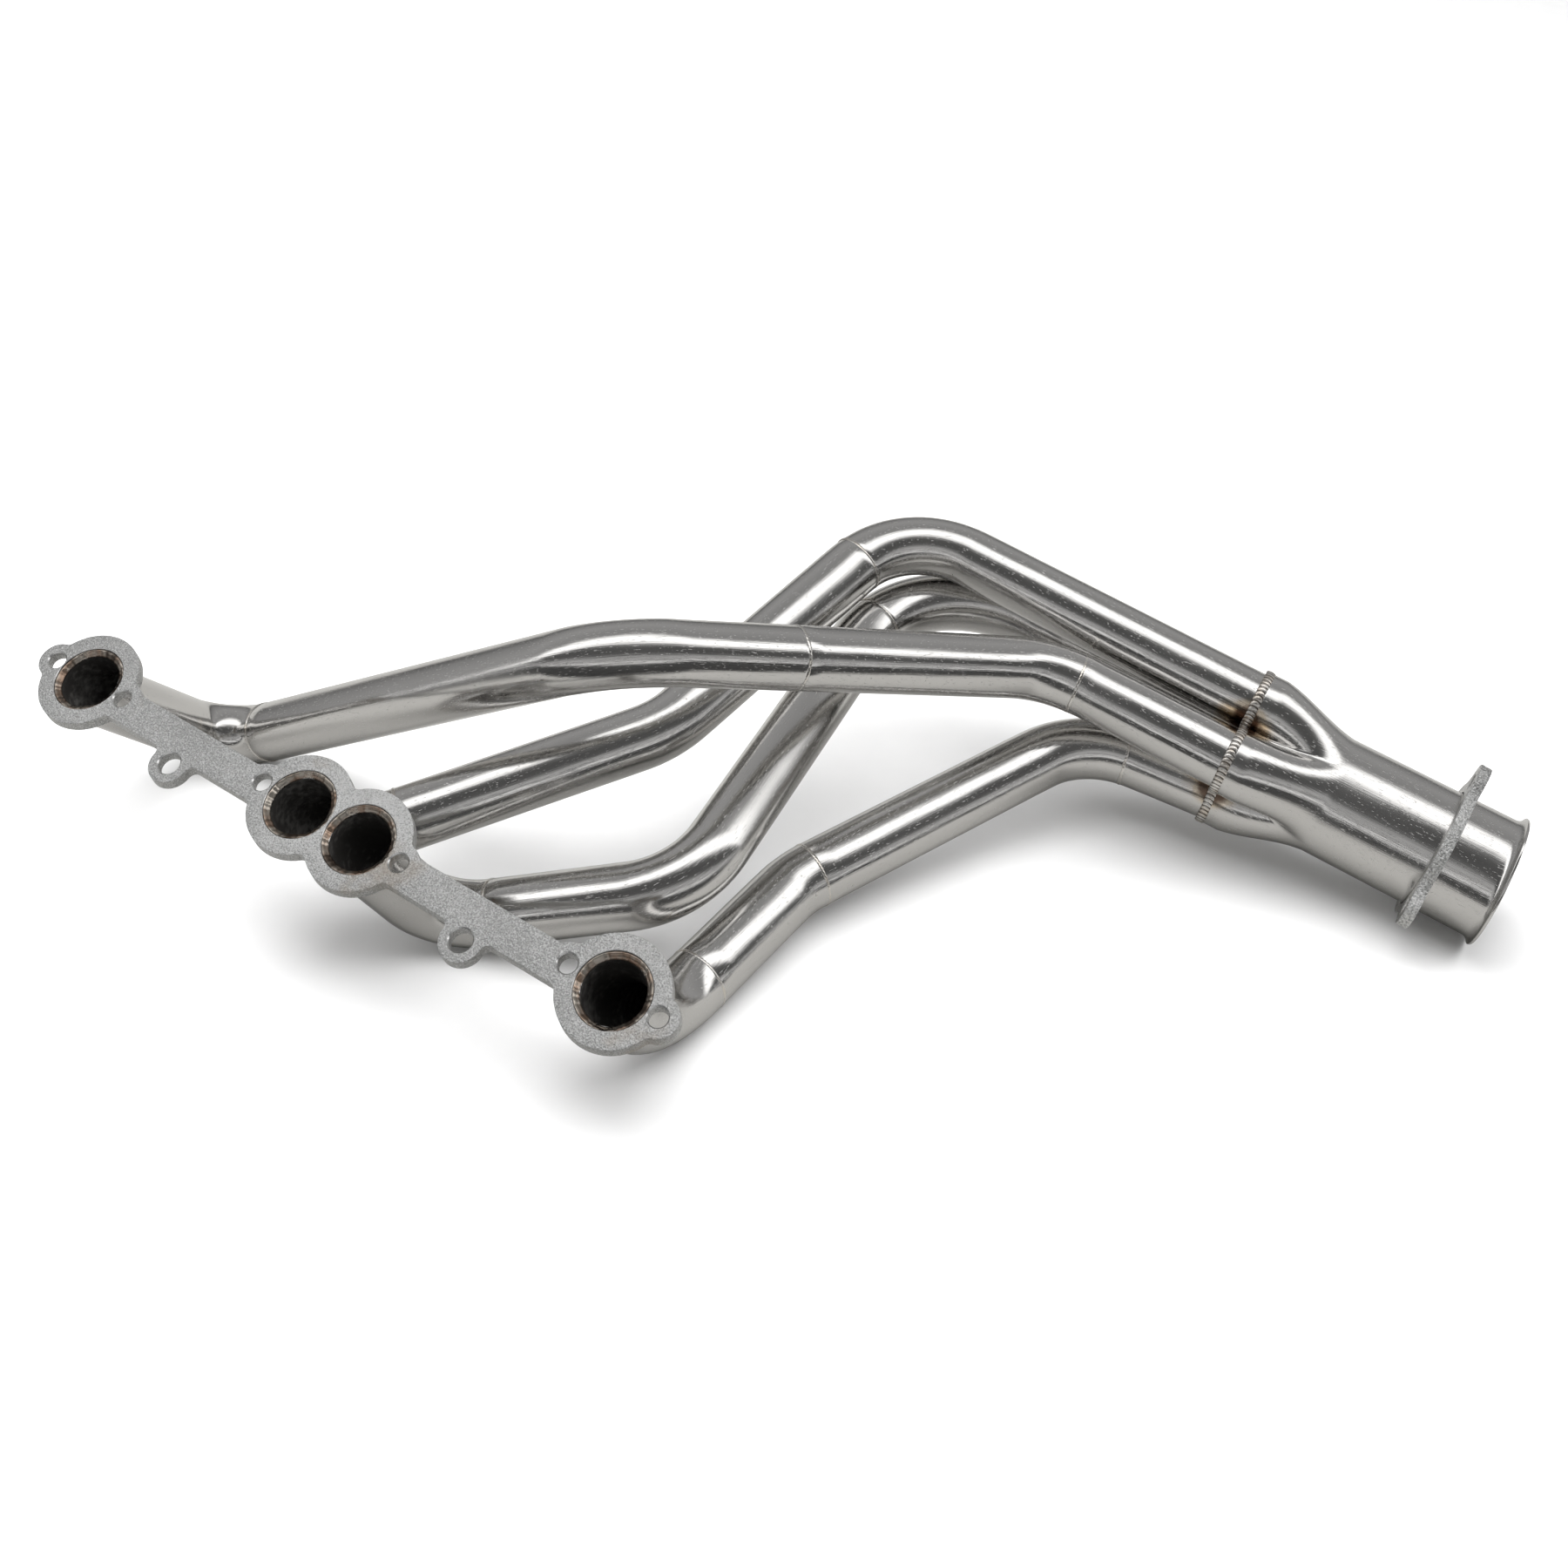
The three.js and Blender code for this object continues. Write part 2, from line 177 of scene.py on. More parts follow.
TABLE_HALF = 8
ROOM_HEADING = math.radians(-32.4)
MIRROR_DARK_FROM = -0.3
table_finish = Finish("white_table")
table_grain = table_finish.noise(table_finish.place(), 40)
table_paint = table_finish.mix(table_grain, (0.9, 0.9, 0.9), (0.94, 0.94, 0.94))
# Painted reflection: the lens sees the table white, reflections see it grey and painted near black in
# front.
table_lens = table_finish.node("ShaderNodeLightPath", {}, output="Is Camera Ray")
table_turned = {"Vector": table_finish.place(), "Angle": ROOM_HEADING}
table_turned = table_finish.node("ShaderNodeVectorRotate", table_turned, rotation_type="Z_AXIS")
table_ahead = table_finish.node("ShaderNodeSeparateXYZ", {"Vector": table_turned}, output="Y")
table_near = table_finish.share(table_ahead, MIRROR_DARK_FROM, MIRROR_DARK_FROM + 0.05)
table_mirrored = table_finish.mix(table_near, (0.02, 0.02, 0.02), (0.42, 0.415, 0.4))
table_colour = table_finish.mix(table_lens, table_mirrored, table_paint)
table_bump = table_finish.bump(table_grain, 0.0002)
table_white = table_finish.surface(table_colour, table_grain * 0.1 + 0.6, table_bump, 0.0)
bm = bmesh.new()
bmesh.ops.create_grid(bm, x_segments=1, y_segments=1, size=TABLE_HALF)
table_mesh = bpy.data.meshes.new("table_top")
bm.to_mesh(table_mesh)
bm.free()
table_mesh.materials.append(table_white)
table_top = bpy.data.objects.new("table_top", table_mesh)
scene.collection.objects.link(table_top)

# The room's light by height round an arc from the front horizon (0), overhead (0.5) and down
# to the back horizon (1). Directly lit surfaces see it all; the lens sees plain white.
ROOM_ARC = (
    (0.0, (0.05, 0.05, 0.05)),
    (0.035, (0.05, 0.05, 0.05)),
    (0.05, (1.2, 1.2, 1.2)),
    (0.08, (1.0, 1.0, 1.0)),
    (0.09, (0.1, 0.1, 0.1)),
    (0.105, (0.1, 0.1, 0.1)),
    (0.115, (0.65, 0.65, 0.65)),
    (0.16, (0.45, 0.45, 0.45)),
    (0.2, (0.12, 0.12, 0.12)),
    (0.3, (0.1, 0.1, 0.1)),
    (0.38, (0.16, 0.16, 0.16)),
    (0.42, (1.2, 1.2, 1.2)),
    (0.44, (1.9, 1.9, 1.9)),
    (0.54, (1.9, 1.9, 1.9)),
    (0.57, (0.5, 0.5, 0.5)),
    (0.6, (0.32, 0.32, 0.32)),
    (0.8, (0.42, 0.42, 0.42)),
    (0.93, (0.3, 0.3, 0.3)),
    (1.0, (0.12, 0.12, 0.12)),
)
room = Finish("room", bpy.data.worlds.new("room"))
scene.world = room.owner
sky = room.node("ShaderNodeTexCoord", {}, output="Generated")
turned = {"Vector": sky, "Angle": ROOM_HEADING}
turned = room.node("ShaderNodeVectorRotate", turned, rotation_type="Z_AXIS")
ahead = room.node("ShaderNodeSeparateXYZ", {"Vector": turned}, output="Y")
height = room.node("ShaderNodeSeparateXYZ", {"Vector": turned}, output="Z")
arc = room.node("ShaderNodeMath", {0: height, 1: ahead * -1}, operation="ARCTAN2")
bands = room.node("ShaderNodeValToRGB", {"Fac": arc * (1 / math.pi)}, stops=ROOM_ARC)
lens_ray = room.node("ShaderNodeLightPath", {}, output="Is Camera Ray")
seen = room.mix(lens_ray, bands, (1, 1, 1))
room.node_output("ShaderNodeOutputWorld", room.node("ShaderNodeBackground", {"Color": seen}))


def lamp(name, at, towards, size, power):
    data = bpy.data.lights.new(name, "AREA")
    data.shape = "RECTANGLE"
    data.size, data.size_y = size
    data.energy = power
    made = bpy.data.objects.new(name, data)
    aim = (Vector(towards) - Vector(at)).to_track_quat("-Z", "Y").to_matrix().to_4x4()
    made.matrix_world = Matrix.Translation(at) @ aim
    made.visible_glossy = False
    scene.collection.objects.link(made)


lamp("overhead_box", (0.1, 0.3, 2.2), (0, 0, 0), (3.2, 2.6), 75)
lamp("left_strip", (-1.9, -0.3, 1.1), (0, 0, 0.1), (0.8, 1.8), 20)

# ---------------------------------------------------------------- head flange
# One steel plate, laser cut and blasted grey, that bolts to the cylinder head. Four port holes in
# round bosses, six bolt holes on the port line and two ears with larger holes; drilled holes are
# chamfered bright.
REST_TIP = math.radians(21.27)
REST_ROLL = math.radians(4.6)
REST_SHIFT = Vector((-164.04, -200.68, 97.02))
MM = 0.001
rest_turn = Matrix.Rotation(REST_ROLL, 4, "Y") @ Matrix.Rotation(REST_TIP, 4, "X")
HEADER = Matrix.Scale(MM, 4) @ Matrix.Translation(REST_SHIFT) @ rest_turn

FLANGE_THICKNESS = 8
PORT_U = (-192.7, -21.9, 21.9, 192.7)
PORT_HOLE_R = 21.1
BOSS_R = 30.8
BOLT_U = (50.5, 164, 220.3)
BOLT_HOLE_R = 5.4
BOLT_LUG_R = 11.5
EAR = (107.4, -18)
EAR_R = 12.3
EAR_HOLE_R = 6.6
RAIL_TOP = 7.5
RAIL_BOTTOM = -13
CORNER_R = 4.5
EDGE_ROUND = 0.45
HOLE_CHAMFER = 0.8
PORT_CHAMFER = 0.3
ARC_STEP = math.radians(5)
RIM_FROM = math.radians(60)  # a sharper fold than this is a rim
SHARP_FROM = 28  # degrees; flatter folds are shaded smooth


def flat_distance(a, b):
    return math.hypot(b[0] - a[0], b[1] - a[1])


def bridge_centre(a, b, fillet):
    """Centre of the fillet that touches two neighbours of a clockwise outline from outside."""
    if "rail" not in a and "rail" not in b:
        gap = flat_distance(a["at"], b["at"])
        ra, rb = a["r"] + fillet, b["r"] + fillet
        along = (gap * gap + ra * ra - rb * rb) / (2 * gap)
        aside = math.sqrt(ra * ra - along * along)
        eu = (b["at"][0] - a["at"][0]) / gap
        ev = (b["at"][1] - a["at"][1]) / gap
        return (a["at"][0] + eu * along - ev * aside, a["at"][1] + ev * along + eu * aside)
    lobe, rail = (b, a) if "rail" in a else (a, b)
    v = rail["rail"] + rail["out"] * fillet
    reach = math.sqrt((lobe["r"] + fillet) ** 2 - (v - lobe["at"][1]) ** 2)
    side = 1 if lobe is a else -1
    return (lobe["at"][0] + rail["out"] * side * reach, v)


def touch_point(entry, centre, fillet):
    if "rail" in entry:
        return (centre[0], entry["rail"])
    share = entry["r"] / (entry["r"] + fillet)
    at = entry["at"]
    return (at[0] + (centre[0] - at[0]) * share, at[1] + (centre[1] - at[1]) * share)


def arc_round(bm, end, centre, to, way):
    """Spins the last point of an outline about a centre as far as a given point."""
    start = math.atan2(end.co.y - centre[1], end.co.x - centre[0])
    turn = (math.atan2(to[1] - centre[1], to[0] - centre[0]) - start) * way
    turn %= 2 * math.pi
    steps = max(2, round(turn / ARC_STEP))
    around = {"cent": (*centre, 0), "axis": (0, 0, 1), "angle": way * turn, "steps": steps}
    swept = bmesh.ops.spin(bm, geom=[end], **around)
    return next(g for g in swept["geom_last"] if isinstance(g, bmesh.types.BMVert))


def cut_outline(bm, ring, fillet):
    """Draws a clockwise outline of lobes and rails joined by fillets."""
    bridges = [bridge_centre(e, ring[(i + 1) % len(ring)], fillet) for i, e in enumerate(ring)]
    end = bm.verts.new((*touch_point(ring[0], bridges[-1], fillet), 0))
    for i, entry in enumerate(ring):
        after = bridges[i]
        leave = touch_point(entry, after, fillet)
        if "rail" in entry:
            grown = bmesh.ops.extrude_vert_indiv(bm, verts=[end])
            end = grown["verts"][0]
            end.co = (*leave, 0)
        else:
            end = arc_round(bm, end, entry["at"], leave, -1)
        following = ring[(i + 1) % len(ring)]
        end = arc_round(bm, end, after, touch_point(following, after, fillet), 1)
    bmesh.ops.remove_doubles(bm, verts=bm.verts, dist=0.02)


def plate(bm, ring, fillet, holes, thickness):
    """A flat plate with round holes, its top on z 0."""
    cut_outline(bm, ring, fillet)
    for centre, radius, sides in holes:
        at = Matrix.Translation((*centre, 0))
        bmesh.ops.create_circle(bm, segments=sides, radius=radius, matrix=at)
    bmesh.ops.triangle_fill(bm, use_beauty=True, edges=bm.edges[:], normal=(0, 0, 1))
    top = bm.faces[:]
    deep = bmesh.ops.extrude_face_region(bm, geom=top)
    sunk = [g for g in deep["geom"] if isinstance(g, bmesh.types.BMVert)]
    bmesh.ops.translate(bm, vec=(0, 0, -thickness), verts=sunk)
    bmesh.ops.recalc_face_normals(bm, faces=bm.faces)


def rim_edges(bm, holes, inside):
    """Edges where a face of the plate meets a wall: those of the holes, or those of the outside."""
    found = []
    for edge in bm.edges:
        if len(edge.link_faces) != 2 or edge.calc_face_angle() < RIM_FROM:
            continue
        middle = (edge.verts[0].co + edge.verts[1].co) / 2
        near = any(flat_distance(middle, centre) < radius + 0.5 for centre, radius, _ in holes)
        flat = abs(edge.verts[0].co.z - edge.verts[1].co.z) < 0.1
        if flat and near == inside:
            found.append(edge)
    return found


def ease(bm, edges, width, segments, material):
    done = bmesh.ops.bevel(
        bm, geom=edges, offset=width, segments=segments, profile=0.5, affect="EDGES",
        clamp_overlap=True, material=-1,
    )
    for face in done["faces"]:
        face.material_index = material


def settle(bm, name, nodes, materials, body="header", sharp=None):
    """Lays a piece made in the header's millimetres down as it rests on the bench."""
    bmesh.ops.transform(bm, matrix=HEADER, verts=bm.verts)
    mesh = bpy.data.meshes.new(name)
    bm.to_mesh(mesh)
    bm.free()
    for material in materials:
        mesh.materials.append(material)
    mesh.shade_smooth()
    if sharp:
        mesh.set_sharp_from_angle(angle=math.radians(sharp))
    piece = bpy.data.objects.new(name, mesh)
    scene.collection.objects.link(piece)
    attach(piece, body)
    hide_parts(*nodes)
    return piece


def blasted(name, dark, light, stain):
    """Steel grit-blasted to a coarse sparkling grey, stained brown by heat here and there."""
    finish = Finish(name)
    place = finish.place()
    grit = finish.noise(place, 1150, 4)
    pits = finish.cells(place, 800)
    patches = finish.noise(place, 9, 3)
    streaks = finish.noise(finish.stretched(place, (30, 160, 160)), 1, 4)
    stains = finish.share(finish.noise(place, 26, 4), 0.6, 0.74)
    tone = finish.share(grit * 0.75 + patches * 0.25, 0.38, 0.62)
    colour = finish.mix(tone, dark, light)
    colour = finish.mix(finish.share(pits, 0.24, 0.02) * 0.8, colour, (0.9, 0.9, 0.9))
    colour = finish.mix(stains * stain, colour, (0.36, 0.29, 0.22))
    colour = finish.mix(finish.share(streaks, 0.66, 0.72) * 0.35, colour, (0.2, 0.2, 0.2))
    roughness = finish.share(grit, 0.2, 0.8) * 0.22 + patches * 0.12 + 0.3
    relief = finish.bump(grit + pits * 0.5 + streaks * 0.15, 0.0007, 0.9)
    return finish.surface(colour, roughness, relief, 0.85)


def machined(name, tone, roughness):
    """Bright steel as a cutter leaves it, with fine tool marks."""
    finish = Finish(name)
    place = finish.place()
    marks = finish.noise(place, 2600, 2)
    patches = finish.noise(place, 60, 2)
    colour = finish.mix(patches, [c * 0.85 for c in tone], tone)
    shine = marks * 0.15 + patches * 0.1 + (roughness - 0.12)
    return finish.surface(colour, shine, finish.bump(marks, 0.00003), 1.0)


plate_finish = blasted("blasted_plate", (0.34, 0.34, 0.335), (0.66, 0.66, 0.655), 0.5)
chamfer_finish = machined("cut_chamfer", (0.78, 0.78, 0.77), 0.28)


def lobe(u, v, r):
    return {"at": (u, v), "r": r}


boss_a, boss_b, boss_c, boss_d = [lobe(u, 0, BOSS_R) for u in PORT_U]
left_lugs = [lobe(-u, 0, BOLT_LUG_R) for u in BOLT_U]
right_lugs = [lobe(u, 0, BOLT_LUG_R) for u in BOLT_U]
left_ear, right_ear = lobe(-EAR[0], EAR[1], EAR_R), lobe(EAR[0], EAR[1], EAR_R)
rail_top = {"rail": RAIL_TOP, "out": 1}
rail_bottom = {"rail": RAIL_BOTTOM, "out": -1}
flange_ring = [
    left_lugs[2], boss_a, left_lugs[1], rail_top, left_lugs[0], boss_b, boss_c, right_lugs[0],
    rail_top, right_lugs[1], boss_d, right_lugs[2], boss_d, rail_bottom, right_ear, rail_bottom,
    boss_c, boss_b, rail_bottom, left_ear, rail_bottom, boss_a,
]
port_holes = [((u, 0), PORT_HOLE_R, 72) for u in PORT_U]
bolt_holes = [((side * u, 0), BOLT_HOLE_R, 40) for u in BOLT_U for side in (-1, 1)]
ear_holes = [((side * EAR[0], EAR[1]), EAR_HOLE_R, 40) for side in (-1, 1)]
flange_holes = port_holes + bolt_holes + ear_holes
bm = bmesh.new()
plate(bm, flange_ring, CORNER_R, flange_holes, FLANGE_THICKNESS)
ease(bm, rim_edges(bm, flange_holes, inside=False), EDGE_ROUND, 2, 0)
ease(bm, rim_edges(bm, bolt_holes + ear_holes, inside=True), HOLE_CHAMFER, 1, 1)
ease(bm, rim_edges(bm, port_holes, inside=True), PORT_CHAMFER, 1, 1)
settle(
    bm, "head_flange_plate", ["head_flange"], [plate_finish, chamfer_finish],
    sharp=SHARP_FROM,
)

# ---------------------------------------------------------------- primary tubes
# Four mandrel-bent stainless tubes, 38.1 mm across, each butt-welded from bent and straight
# pieces and then polished. Wide bends are a little flat on their outer side. The bores are
# painted dark as painted shade for the inside of the tubes; heat has tinted the steel straw and
# brown beside the collector's bead.
TUBE_R = 19.05
TUBE_WALL = 1.5
TUBE_START = 3.2
TUBE_SIDES = 56
TUBE_END_IN_COLLECTOR = 9
MOUTH_BEND_R = 20
SHAPED_BEND_R = 45  # tighter bends keep a round section
BEND_STEP = 4
STRAIGHT_STEP = 12
SEAM_GAP = 0.3
BEND_FLAT = 0.55  # how far the outer side of a bend sinks
BEND_SWELL = 0.25  # and its flanks swell
BEND_BLEND = 10
WAVE_LENGTH = 6
WAVE_INNER = 0.22
WAVE_OUTER = 0.14
PRIMARIES = {
    "a": {
        "corners": (
            (-192.7, 0, 0), (-192.7, 0, -17), (-179.8, 47.2, -136.1), (100.6, 147.5, 45.1),
            (279.7, 334.4, -99.4),
        ),
        "radii": (42, 33, 62.7, 63.2),
        "seams": (163, 572, 768),
    },
    "b": {
        "corners": ((-21.9, 0, 0), (-21.9, 0, -51.7), (106.6, 165, -62.1), (152.8, 380.3, -82.4)),
        "radii": (38, 64.4, 63.3),
        "seams": (84, 421),
    },
    "c": {
        "corners": (
            (21.9, 0, 0), (21.9, 0, -29.1), (46.3, 9.1, -91.7), (175.4, 84.3, -57.7),
            (158, 385, -124.5),
        ),
        "radii": (57, 37.6, 51.3, 86),
        "seams": (121, 470),
    },
    "d": {
        "corners": ((192.7, 0, 0), (192.7, 0, -72), (210.5, 136.1, -108.6), (306.2, 328.1, -150.1)),
        "radii": (70.1, 64.2, 64.7),
        "seams": (111, 210, 439),
    },
}
COLLECTOR_AT = Vector((394.9, 356, -133.5))
COLLECTOR_AXIS = Vector((0.9937, -0.0044, -0.1117)).normalized()
COLLECTOR_TURN = math.radians(-43.1)
LOBE_AT = 30.6
HEAT_AT = -1.5
HEAT_REACH = 8
HEAT_RIM, HEAT_VALLEY = 44, 32
LOBE_ORDER = ("b", "a", "d", "c")
collector_across = Vector((-COLLECTOR_AXIS.z, 0, COLLECTOR_AXIS.x)).normalized()
collector_down = COLLECTOR_AXIS.cross(collector_across).normalized()
outlet_basis = Matrix((collector_across, collector_down, COLLECTOR_AXIS)).transposed().to_4x4()
OUTLET = Matrix.Translation(COLLECTOR_AT) @ outlet_basis
LOBED = OUTLET @ Matrix.Rotation(COLLECTOR_TURN, 4, "Z")


def about(centre, axis, angle):
    """A turn about an axis through a point."""
    turn = Matrix.Rotation(angle, 4, axis)
    return Matrix.Translation(centre) @ turn @ Matrix.Translation(-centre)


class TubeRun:
    """A tube's centreline: straights and round bends, walked by the length along it."""

    def __init__(self, corners, radii):
        self.legs = []
        self.length = 0
        points = [Vector(c) for c in corners]
        way = (points[1] - points[0]).normalized()
        self.end = Matrix.Translation(points[0]) @ way.to_track_quat("Z", "Y").to_matrix().to_4x4()
        for i in range(1, len(points)):
            before = (points[i] - points[i - 1]).normalized()
            if i == len(points) - 1:
                self.straight(before, (points[i] - self.end.translation).length)
                break
            after = (points[i + 1] - points[i]).normalized()
            angle = before.angle(after)
            setback = radii[i - 1] * math.tan(angle / 2)
            self.straight(before, (points[i] - self.end.translation).length - setback)
            inward = (after - before * after.dot(before)).normalized()
            centre = self.end.translation + inward * radii[i - 1]
            self.bend(centre, before.cross(inward), angle, radii[i - 1])

    def add(self, length, leg):
        self.legs.append({"from": self.length, "length": length, "frame": self.end, **leg})
        self.length += length
        self.end = self.at(self.length)

    def straight(self, way, length):
        self.add(length, {"way": way})

    def bend(self, centre, axis, angle, radius):
        self.add(angle * radius, {"centre": centre, "axis": axis, "radius": radius})

    def leg_at(self, s):
        return next((leg for leg in self.legs if s <= leg["from"] + leg["length"]), self.legs[-1])

    def at(self, s):
        leg = self.leg_at(s)
        gone = s - leg["from"]
        if "way" in leg:
            return Matrix.Translation(leg["way"] * gone) @ leg["frame"]
        return about(leg["centre"], leg["axis"], gone / leg["radius"]) @ leg["frame"]

    def stations(self, start, end):
        """Where the rings of a piece stand: close together in bends, further apart in straights."""
        stops = [start]
        for leg in self.legs:
            pitch = STRAIGHT_STEP
            if "radius" in leg:
                pitch = leg["radius"] * math.radians(BEND_STEP)
            count = max(1, round(leg["length"] / pitch))
            stops += [leg["from"] + leg["length"] * k / count for k in range(count + 1)]
        inner = sorted(s for s in stops if start + 0.8 < s < end - 0.8)
        kept = [start]
        for s in inner:
            if s - kept[-1] > 0.5:
                kept.append(s)
        return kept + [end]


def smooth_step(value, low, high):
    t = min(1, max(0, (value - low) / (high - low)))
    return t * t * (3 - 2 * t)


def collector_heat(point):
    """How strongly the collector's bead has tinted the steel at a point: most in the valleys."""
    local = LOBED.inverted() @ point
    beside = math.exp(-abs(local.z - HEAT_AT) / HEAT_REACH)
    valley = smooth_step(math.hypot(local.x, local.y), HEAT_RIM, HEAT_VALLEY)
    return beside * (0.1 + 1.1 * valley)


def bend_shape(run, s, point):
    """Moves a point of a bent tube as bending does: the outer side of a bend goes slightly flat,
    and a shallow wave marks where the bend starts and ends."""
    frame = run.at(s)
    out = point - frame.translation
    push = 0
    for leg in run.legs:
        if leg.get("radius", 0) < SHAPED_BEND_R:
            continue
        near, far = leg["from"], leg["from"] + leg["length"]
        swung = (min(max(s, near), far) - near) / leg["radius"]
        centre_way = (about(leg["centre"], leg["axis"], swung) @ leg["frame"]).translation
        inward = (leg["centre"] - centre_way).normalized()
        side = out.normalized().dot(inward)
        within = smooth_step(s, near, near + BEND_BLEND) * (1 - smooth_step(s, far - BEND_BLEND, far))
        push -= BEND_FLAT * within * max(0, -side) ** 2
        push += BEND_SWELL * within * (1 - side * side)
        for edge in (near, far):
            wave = math.exp(-((s - edge) / WAVE_LENGTH) ** 2)
            push += wave * (WAVE_INNER * max(0, side) ** 3 - WAVE_OUTER * max(0, -side) ** 3)
    return out.normalized() * push


def polished(name, tone, base_roughness):
    """Mirror-polished stainless with fine lengthwise polishing lines, hazy patches and dried
    water spots; "grain" unrolls the tube, "scorch" is the tint left by a nearby weld."""
    finish = Finish(name)
    grain = finish.attribute("grain", "Vector")
    heat = finish.attribute("scorch", "Fac")
    place = finish.place()
    lines = finish.noise(finish.stretched(grain, (1.6, 1.6, 0.03)), 1, 4)
    fine = finish.noise(finish.stretched(grain, (5, 5, 0.06)), 1, 3)
    haze = finish.noise(finish.stretched(grain, (0.05, 0.05, 0.012)), 1, 3)
    waves = finish.noise(finish.stretched(grain, (0.06, 0.06, 0.02)), 1, 1)
    drops = finish.share(finish.cells(place, 150), 0.13, 0.07)
    spots = drops * finish.share(finish.noise(place, 14), 0.5, 0.64)
    scratches = finish.share(finish.noise(finish.stretched(grain, (2.2, 2.2, 0.3)), 1, 5), 0.63, 0.7)
    ragged = heat * (finish.noise(place, 160, 4) * 1.1 + 0.45)
    straw = finish.share(ragged, 0.1, 0.32)
    brown = finish.share(ragged, 0.3, 0.55)
    colour = finish.mix(haze, [c * 0.93 for c in tone], tone)
    colour = finish.mix(spots * 0.35, colour, (0.4, 0.39, 0.37))
    colour = finish.mix(straw, colour, (0.56, 0.49, 0.4))
    colour = finish.mix(brown, colour, (0.17, 0.12, 0.09))
    roughness = finish.share(haze, 0.35, 0.75) * 0.1 + lines * 0.05 + base_roughness
    roughness = roughness + spots * 0.25 + scratches * 0.2 + heat * 0.15
    relief = waves * 0.35 + lines * 0.04 + fine * 0.014 - scratches * 0.03
    return finish.surface(colour, roughness, finish.bump(relief, 0.001, 1.0), 1.0)


def bore_shade_paint(name):
    """The bore: painted shade, a dark grey for the shade inside a tube, with grey patches here and there.
    """
    finish = Finish(name)
    place = finish.place()
    mottle = finish.noise(place, 260, 5)
    broad = finish.noise(place, 30, 2)
    grey_patches = finish.share(mottle * 0.5 + broad * 0.5, 0.45, 0.7)
    # Painted shade: the bore is coloured dark for the shade inside the tube, with random grey patches.
    colour = finish.mix(grey_patches, (0.1, 0.095, 0.09), (0.36, 0.35, 0.335))
    roughness = mottle * 0.25 + 0.2
    return finish.surface(colour, roughness, finish.bump(mottle, 0.0002, 0.5), 0.7)


tube_finish = polished("polished_stainless", (0.64, 0.63, 0.615), 0.07)
bore_finish = bore_shade_paint("painted_shade_bore")


def wall(piece, thickness, rim=0.25):
    """Gives a shell its wall, with the bore's painted shade inside, and eases its cut ends."""
    shell = piece.modifiers.new("wall", "SOLIDIFY")
    shell.thickness = thickness * MM
    shell.offset = -1
    shell.material_offset = 1
    eased = piece.modifiers.new("eased", "BEVEL")
    eased.width = rim * MM
    eased.segments = 2
    eased.limit_method = "ANGLE"
    eased.angle_limit = math.radians(50)


def tube_piece(run, name, start, end):
    """Draws a ring at the start and pulls it along the run, ring by ring."""
    bm = bmesh.new()
    grain = bm.verts.layers.float_vector.new("grain")
    heat = bm.verts.layers.float.new("scorch")
    stations = run.stations(start, end)
    first = bmesh.ops.create_circle(bm, segments=TUBE_SIDES, radius=TUBE_R, matrix=run.at(start))
    rings = [first["verts"]]
    for i, vert in enumerate(rings[0]):
        angle = i / TUBE_SIDES * 2 * math.pi
        vert[grain] = (TUBE_R * math.cos(angle), TUBE_R * math.sin(angle), start)
    edges = bm.edges[:]
    for before, after in zip(stations, stations[1:]):
        pulled = bmesh.ops.extrude_edge_only(bm, edges=edges)["geom"]
        ring = [g for g in pulled if isinstance(g, bmesh.types.BMVert)]
        edges = [g for g in pulled if isinstance(g, bmesh.types.BMEdge)]
        step = run.at(after) @ run.at(before).inverted()
        bmesh.ops.transform(bm, matrix=step, verts=ring)
        rings.append(ring)
    for s, ring in zip(stations, rings):
        moved = [vert.co + bend_shape(run, s, vert.co) for vert in ring]
        for vert, place in zip(ring, moved):
            vert[grain] = (vert[grain].x, vert[grain].y, s)
            vert[heat] = collector_heat(vert.co)
            vert.co = place
    bmesh.ops.recalc_face_normals(bm, faces=bm.faces)
    face = rings[0][0].link_faces[0]
    centre = run.at(start).translation
    if face.normal.dot(face.calc_center_median() - centre) < 0:
        bmesh.ops.reverse_faces(bm, faces=bm.faces)
    piece = settle(bm, "primary_" + name, ["tube_" + name], [tube_finish, bore_finish])
    wall(piece, TUBE_WALL)


runs = {}
for name, shape in PRIMARIES.items():
    turn = math.radians(90 * LOBE_ORDER.index(name))
    mouth = LOBED @ Vector((LOBE_AT * math.cos(turn), LOBE_AT * math.sin(turn), 0))
    inside = mouth + COLLECTOR_AXIS * TUBE_END_IN_COLLECTOR
    runs[name] = TubeRun((*shape["corners"], mouth, inside), (*shape["radii"], MOUTH_BEND_R))
    cuts = (TUBE_START, *shape["seams"], runs[name].length)
    for i in range(len(cuts) - 1):
        start = cuts[i] + (SEAM_GAP / 2 if i else 0)
        end = cuts[i + 1] - (SEAM_GAP / 2 if i + 2 < len(cuts) else 0)
        tube_piece(runs[name], f"{name}{i + 1}", start, end)

# ---------------------------------------------------------------- seam welds
# Butt welds that join the pieces of a primary. Each is a low narrow bead, dressed almost flush
# when the tube was polished, with a fine dark line at either edge, oxide and painted shade.
SEAM_PROUD = 0.3
SEAM_HALF = 1.1


def ripple(angle, pitch_angle, seed):
    """The scalloped lap of one weld puddle over the next, -0.5 to 0.5, with uneven spacing."""
    drift = noise.noise(Vector((math.cos(angle) * 3, math.sin(angle) * 3, seed)))
    lap = (angle + drift * pitch_angle * 0.8) / pitch_angle
    return abs(math.sin(lap * math.pi)) - 0.5


